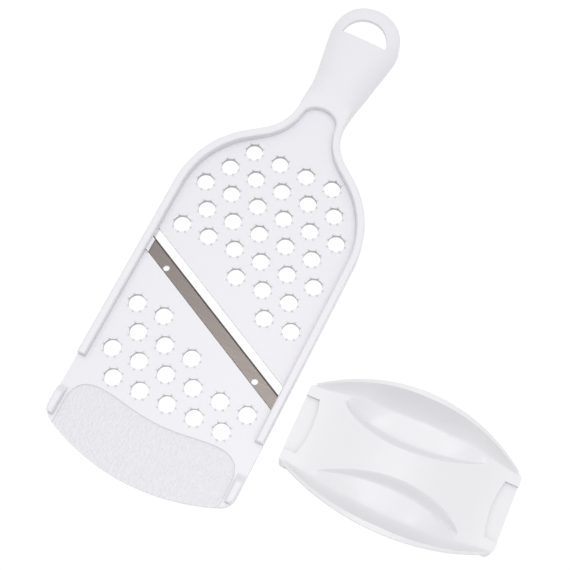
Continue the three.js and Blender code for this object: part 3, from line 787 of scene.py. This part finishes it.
def lowest_top(u, v):
    """The lowest point of the holder's top over one pin's boss."""
    angle = np.arange(8) * math.pi / 4
    round_u = u + PIN_BOSS_RADIUS * np.cos(angle)
    round_v = v + PIN_BOSS_RADIUS * np.sin(angle)
    return float(min(holder_top(u, v), holder_top(round_u, round_v).min()))


def corner_cutters():
    """What rounds the four upright corners of the ears and claws."""
    r = CORNER_ROUND
    solids = []
    for side_u in (-1, 1):
        for side_v in (-1, 1):
            arch = arc(HOLDER_HALF - r, EAR_HALF - r, r, math.pi / 2, 0, 12)
            beyond = HOLDER_HALF + 1
            outside = [(beyond, EAR_HALF - r), (beyond, EAR_HALF + 4), (HOLDER_HALF - r, EAR_HALF + 4)]
            loop = np.vstack([arch, outside]) * [side_u, side_v]
            solids.append(prism("corner", loop if side_u * side_v > 0 else loop[::-1], -1.0, TOP))
    return gathered("corners", solids)


def food_holder():
    skin = rounded(holder_skin(), 0.5, 3, 50)
    bosses, bores = [], []
    for u, v in pin_places():
        top = lowest_top(u, v)
        seat = top - PIN_COVER
        bosses.append(drum("boss", u, v, PIN_BOSS_RADIUS, seat - PIN_SEAT, top - SKIN / 2, 32))
        bores.append(drum("bore", u, v, PIN_RADIUS + GAP, -1.0, seat + GAP, 24))
    combine(skin, [holder_end(-1), holder_end(1), gathered("bosses", bosses)], "UNION")
    combine(skin, [tab_cutter(-1), tab_cutter(1), corner_cutters(), gathered("bores", bores)], "DIFFERENCE")
    return skin


# ---- Placing ------------------------------------------------------------------------------
def board_matrix():
    low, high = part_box("grater_body")
    c, s = math.cos(BOARD_TILT), math.sin(BOARD_TILT)
    lip = STEP - PANEL_DEPTH
    origin = Vector(
        (
            (low.x + high.x) / 2,
            low.y - (END_Y * c - lip * s) * MM,
            low.z - (END_Y * s + SKIRT_BOTTOM * c) * MM,
        )
    )
    return Matrix.Translation(origin) @ Matrix.Rotation(BOARD_TILT, 4, "X") @ Matrix.Scale(MM, 4)


def holder_matrix():
    low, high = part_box("food_holder")
    middle = (low + high) / 2
    origin = Vector((middle.x, middle.y, low.z))
    return Matrix.Translation(origin) @ Matrix.Rotation(HOLDER_TURN, 4, "Z") @ Matrix.Scale(MM, 4)


def smooth_by_angle(made, degrees):
    mesh = made.data
    mesh.polygons.foreach_set("use_smooth", [True] * len(mesh.polygons))
    mesh.set_sharp_from_angle(angle=math.radians(degrees))
    modifier = made.modifiers.new("weighted normals", "WEIGHTED_NORMAL")
    modifier.keep_sharp = True
    modifier.weight = 50


def refinished(made, material):
    made.data.materials.clear()
    made.data.materials.append(material)


def placed(made, matrix, name, body, node, material):
    """Moves a finished shape from its local millimetres into the frame, in place of its CAD node."""
    made.data.transform(matrix)
    made.name = name
    refinished(made, material)
    smooth_by_angle(made, SMOOTH_ANGLE)
    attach(made, body)
    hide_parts(node)
    return made


# ---- Materials ----------------------------------------------------------------------------
BODY_WHITE = (0.80, 0.79, 0.83)
HOLDER_WHITE = (0.792, 0.785, 0.808)
BLADE_GREY = (0.18, 0.159, 0.15)
PIN_GREY = (0.6, 0.6, 0.61)
SMOOTH_ANGLE = 32

# Painted shade in creases: the reach of the occlusion, how dark it paints the colour, and its samples.
CREASE_REACH = 0.003
CREASE_SHADE = 0.85
CREASE_SAMPLES = 4
# Painted shade on the sunk end panel: its colour is multiplied by PANEL_SHADE.
PANEL_MARK = "panel"
PANEL_SHADE = 0.94
# Painted shade on the cut walls of the holes: their colour is multiplied by WALL_SHADE.
WALL_MARK = "hole_wall"
WALL_SHADE = 0.58

RELIEF_SCALE = 700
RELIEF_STRENGTH = 0.6
RELIEF_DISTANCE = 0.0005
GRAIN_SCALE = 1400
GRAIN_STRENGTH = 0.05
GRAIN_DISTANCE = 0.0001
PLASTIC_GLOSS = (0.36, 0.48)
SUBSURFACE_WEIGHT = 0.08
SUBSURFACE_REACH = 0.002
BRUSH_SCALE = (60, 3000, 3000)
STEEL_GLOSS = (0.32, 0.52)


def is_panel(face):
    """Whether the face is part of the floor of the sunk panel, in the board's own frame."""
    inside = face.center.y < PANEL_TOP_Y + 1 and abs(face.center.x) < PANEL_HALF
    level = abs(face.center.z - (STEP - PANEL_DEPTH)) < 0.05
    return inside and level and face.normal.z > 0.9


def hole_wall_test():
    """A test for the cut walls of the grating holes, whose colour gets painted shade."""
    centres = np.array([(x, y) for x, y, _ in hole_places()])

    def is_hole_wall(face):
        if abs(face.normal.z) > 0.3:
            return False
        away = np.hypot(centres[:, 0] - face.center.x, centres[:, 1] - face.center.y)
        return away.min() < HOLE_RADIUS + 0.1 and face.center.z < STEP

    return is_hole_wall


def marked(made):
    """Marks the panel and the holes' walls on the board, for its plastic: both get painted shade, and the
    panel also gets its relief.
    """
    for name, test in ((PANEL_MARK, is_panel), (WALL_MARK, hole_wall_test())):
        mark = made.data.attributes.new(name, "FLOAT", "FACE")
        mark.data.foreach_set("value", [float(test(face)) for face in made.data.polygons])
    return made


def principled(name, color, roughness, metallic=0.0):
    material = bpy.data.materials.new(name)
    material.use_nodes = True
    shader = material.node_tree.nodes["Principled BSDF"]
    shader.inputs["Base Color"].default_value = (*color, 1)
    shader.inputs["Roughness"].default_value = roughness
    shader.inputs["Metallic"].default_value = metallic
    return material, material.node_tree.nodes, material.node_tree.links, shader


def painted_crease_shade(nodes, links, shader, color):
    """Paints shade into the plastic's colour, a little, where its own surfaces face each other at close
    range.
    """
    # Painted shade: ambient occlusion darkens the base colour in creases and at the feet of walls.
    crease = nodes.new("ShaderNodeAmbientOcclusion")
    crease.samples = CREASE_SAMPLES
    crease.only_local = True
    crease.inputs["Distance"].default_value = CREASE_REACH
    mix = nodes.new("ShaderNodeMixRGB")
    mix.inputs["Color1"].default_value = (*(c * CREASE_SHADE for c in color), 1)
    mix.inputs["Color2"].default_value = (*color, 1)
    links.new(crease.outputs["AO"], mix.inputs["Fac"])
    colour = mix.outputs["Color"]
    # Painted shade: the marked panel and hole walls have their colour multiplied down.
    for name, share in ((PANEL_MARK, PANEL_SHADE), (WALL_MARK, WALL_SHADE)):
        mark = nodes.new("ShaderNodeAttribute")
        mark.attribute_name = name
        tone = nodes.new("ShaderNodeMixRGB")
        tone.blend_type = "MULTIPLY"
        tone.inputs["Color2"].default_value = (share, share, share, 1)
        links.new(mark.outputs["Fac"], tone.inputs["Fac"])
        links.new(colour, tone.inputs["Color1"])
        colour = tone.outputs["Color"]
    links.new(colour, shader.inputs["Base Color"])


def embossed_panel(nodes, links, place):
    """A fine generic relief where the mesh is marked as the textured panel."""
    mark = nodes.new("ShaderNodeAttribute")
    mark.attribute_name = PANEL_MARK
    cells = nodes.new("ShaderNodeTexVoronoi")
    cells.feature = "SMOOTH_F1"
    cells.inputs["Scale"].default_value = RELIEF_SCALE
    links.new(place.outputs["Object"], cells.inputs["Vector"])
    height = nodes.new("ShaderNodeMath")
    height.operation = "MULTIPLY"
    links.new(cells.outputs["Distance"], height.inputs[0])
    links.new(mark.outputs["Fac"], height.inputs[1])
    relief = nodes.new("ShaderNodeBump")
    relief.inputs["Strength"].default_value = RELIEF_STRENGTH
    relief.inputs["Distance"].default_value = RELIEF_DISTANCE
    links.new(height.outputs["Value"], relief.inputs["Height"])
    return relief


def varied_gloss(nodes, links, shader, noise, limits):
    """Lets the roughness wander between two limits with the noise."""
    gloss = nodes.new("ShaderNodeMapRange")
    gloss.inputs["To Min"].default_value, gloss.inputs["To Max"].default_value = limits
    links.new(noise.outputs["Fac"], gloss.inputs["Value"])
    links.new(gloss.outputs["Result"], shader.inputs["Roughness"])


def white_plastic(name, color):
    material, nodes, links, shader = principled(name, color, 0.42)
    painted_crease_shade(nodes, links, shader, color)
    shader.inputs["Subsurface Weight"].default_value = SUBSURFACE_WEIGHT
    shader.inputs["Subsurface Radius"].default_value = (SUBSURFACE_REACH,) * 3
    place = nodes.new("ShaderNodeTexCoord")
    grain = nodes.new("ShaderNodeTexNoise")
    grain.inputs["Scale"].default_value = GRAIN_SCALE
    grain.inputs["Detail"].default_value = 4
    links.new(place.outputs["Object"], grain.inputs["Vector"])
    bump = nodes.new("ShaderNodeBump")
    bump.inputs["Strength"].default_value = GRAIN_STRENGTH
    bump.inputs["Distance"].default_value = GRAIN_DISTANCE
    links.new(grain.outputs["Fac"], bump.inputs["Height"])
    relief = embossed_panel(nodes, links, place)
    links.new(relief.outputs["Normal"], bump.inputs["Normal"])
    links.new(bump.outputs["Normal"], shader.inputs["Normal"])
    varied_gloss(nodes, links, shader, grain, PLASTIC_GLOSS)
    return material


def steel(name, color, along):
    material, nodes, links, shader = principled(name, color, 0.35, 1.0)
    place = nodes.new("ShaderNodeTexCoord")
    turn = nodes.new("ShaderNodeMapping")
    turn.inputs["Rotation"].default_value = (0, 0, along)
    turn.inputs["Scale"].default_value = BRUSH_SCALE
    links.new(place.outputs["Object"], turn.inputs["Vector"])
    brushed = nodes.new("ShaderNodeTexNoise")
    brushed.inputs["Scale"].default_value = 1.0
    brushed.inputs["Detail"].default_value = 3
    links.new(turn.outputs["Vector"], brushed.inputs["Vector"])
    varied_gloss(nodes, links, shader, brushed, STEEL_GLOSS)
    return material


# ---- Stage --------------------------------------------------------------------------------
FLOOR_GLOW = 1.02
FLOOR_HALF = 6.0
FLOOR_HEIGHTS = (-0.02, -0.0002)
SKY_HORIZON = 0.62
SKY_ZENITH = 0.8
KEY_PLACE = (-0.02, 0.03, 2.2)
KEY_SIZE = 0.8
KEY_POWER = 15.0


def studio_floor():
    """A floor that glows evenly, so that it reads as plain white and takes no shadow."""
    material = bpy.data.materials.new("floor")
    material.use_nodes = True
    nodes, links = material.node_tree.nodes, material.node_tree.links
    nodes.clear()
    glow = nodes.new("ShaderNodeEmission")
    glow.inputs["Strength"].default_value = FLOOR_GLOW
    out = nodes.new("ShaderNodeOutputMaterial")
    links.new(glow.outputs["Emission"], out.inputs["Surface"])
    made = prism("floor", box_loop(-FLOOR_HALF, FLOOR_HALF, -FLOOR_HALF, FLOOR_HALF), *FLOOR_HEIGHTS)
    made.data.materials.append(material)


def area_light(name, where, target, size, power):
    data = bpy.data.lights.new(name, "AREA")
    data.shape = "DISK"
    data.size = size
    data.energy = power
    lamp = bpy.data.objects.new(name, data)
    lamp.location = where
    lamp.rotation_mode = "QUATERNION"
    lamp.rotation_quaternion = (Vector(target) - Vector(where)).to_track_quat("-Z", "Y")
    bpy.context.scene.collection.objects.link(lamp)


def lights():
    world = bpy.data.worlds.new("studio")
    bpy.context.scene.world = world
    world.use_nodes = True
    nodes, links = world.node_tree.nodes, world.node_tree.links
    place = nodes.new("ShaderNodeTexCoord")
    split = nodes.new("ShaderNodeSeparateXYZ")
    links.new(place.outputs["Generated"], split.inputs["Vector"])
    shade = nodes.new("ShaderNodeMapRange")
    shade.inputs["To Min"].default_value = SKY_HORIZON
    shade.inputs["To Max"].default_value = SKY_ZENITH
    links.new(split.outputs["Z"], shade.inputs["Value"])
    sky = nodes["Background"]
    sky.inputs["Color"].default_value = (1, 1, 1, 1)
    links.new(shade.outputs["Result"], sky.inputs["Strength"])
    area_light("key", KEY_PLACE, (0, 0, 0), KEY_SIZE, KEY_POWER)


CAMERA_TARGET = Vector((-0.0395, -0.0183, 0.0))
CAMERA_DISTANCE = 0.7262
CAMERA_AZIMUTH = math.radians(20.03)
CAMERA_ELEVATION = math.radians(70.77)
CAMERA_ROLL = math.radians(6.87)
CAMERA_LENS = 84.07
CAMERA_SENSOR = 36
CAMERA_CLIP = (0.01, 50)


def camera():
    data = bpy.data.cameras.new("camera")
    data.lens = CAMERA_LENS
    data.sensor_width = CAMERA_SENSOR
    data.clip_start, data.clip_end = CAMERA_CLIP
    made = bpy.data.objects.new("camera", data)
    a, e = CAMERA_AZIMUTH, CAMERA_ELEVATION
    back = Vector((math.sin(a) * math.cos(e), -math.cos(a) * math.cos(e), math.sin(e)))
    made.location = CAMERA_TARGET + back * CAMERA_DISTANCE
    made.rotation_mode = "QUATERNION"
    made.rotation_quaternion = (-back).to_track_quat("-Z", "Y") @ Quaternion((0, 0, 1), CAMERA_ROLL)
    bpy.context.scene.collection.objects.link(made)
    bpy.context.scene.camera = made


# ---- Build --------------------------------------------------------------------------------
body_white = white_plastic("body_plastic", BODY_WHITE)
holder_white = white_plastic("holder_plastic_looks", HOLDER_WHITE)
blade_metal = steel("blade_steel_looks", BLADE_GREY, BLADE_ANGLE)
pin_metal = steel("pin_steel_looks", PIN_GREY, 0.0)

body = marked(grater_body())
placed(body, board_matrix(), "grater_body_looks", "grater", "grater_body", body_white)
holder = food_holder()
placed(holder, holder_matrix(), "food_holder_looks", "holder", "food_holder", holder_white)
for name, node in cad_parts.items():
    if name == "slicing_blade":
        refinished(node, blade_metal)
    elif name.startswith("food_pin"):
        refinished(node, pin_metal)

studio_floor()
lights()
camera()
bpy.context.scene.view_settings.view_transform = "Standard"
